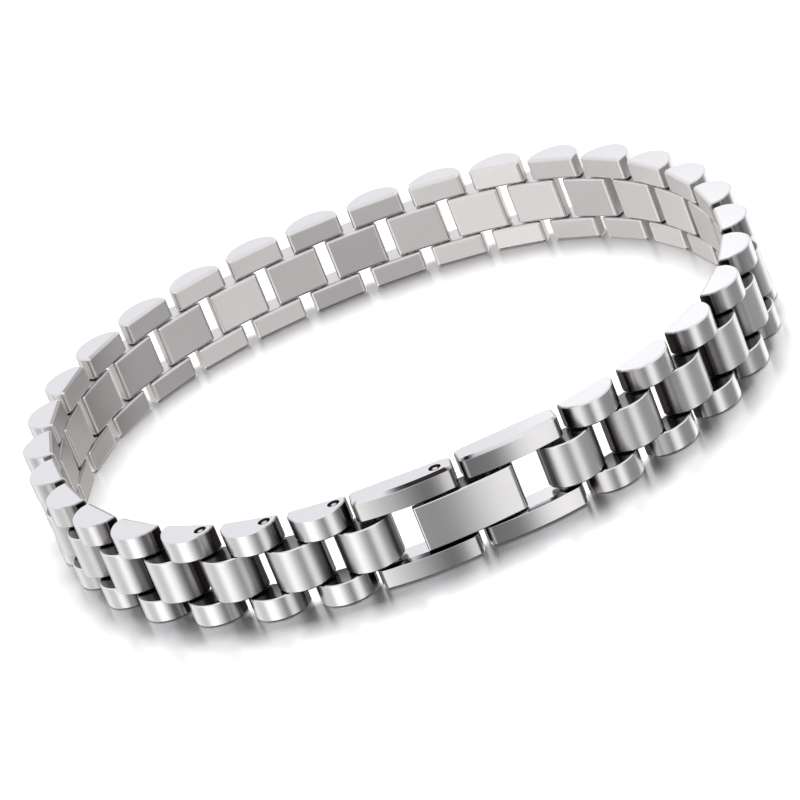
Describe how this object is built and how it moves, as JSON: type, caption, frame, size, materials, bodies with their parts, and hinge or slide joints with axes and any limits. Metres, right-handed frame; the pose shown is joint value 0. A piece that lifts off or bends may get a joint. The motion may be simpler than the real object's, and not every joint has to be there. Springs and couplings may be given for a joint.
{
  "type": "link bracelet",
  "caption": "Closed link bracelet of polished steel: domed centre links between two rows of domed side links, with a fold-over clasp whose lever swings open.",
  "frame": {"origin": "middle of the bracelet's box, on the surface that it stands on", "axes": "+Z along the axis of the loop, up; the clasp faces -Y; +X to the right of the clasp seen from outside"},
  "size_m": [0.0632, 0.06, 0.008],
  "materials": {
    "link_steel": "polished, with a faint brushed grain",
    "clasp_steel": "satin",
    "lever_steel": "satin"
  },
  "bodies": {
    "band": {"link_01": "link_steel", "link_02": "link_steel", "link_03": "link_steel", "link_04": "link_steel", "link_05": "link_steel", "link_06": "link_steel", "link_07": "link_steel", "link_08": "link_steel", "link_09": "link_steel", "link_10": "link_steel", "link_11": "link_steel", "link_12": "link_steel", "link_13": "link_steel", "link_14": "link_steel", "link_15": "link_steel", "link_16": "link_steel", "link_17": "link_steel", "link_18": "link_steel", "link_19": "link_steel", "link_20": "link_steel", "link_21": "link_steel", "link_22": "link_steel", "link_23": "link_steel", "link_24": "link_steel", "link_25": "link_steel", "link_26": "link_steel", "link_27": "link_steel", "link_28": "link_steel", "link_29": "link_steel", "first_centre_link": "link_steel", "hinge_frame": "clasp_steel", "catch_frame": "clasp_steel"},
    "lever": {"clasp_lever": "lever_steel"}
  },
  "joints": [
    {"name": "lever_hinge", "type": "hinge", "parent": "band", "child": "lever", "pos_m": [-0.00012, -0.02855, 0.004], "axis": [0, 0, -1], "range_deg": [0, 110]}
  ]
}
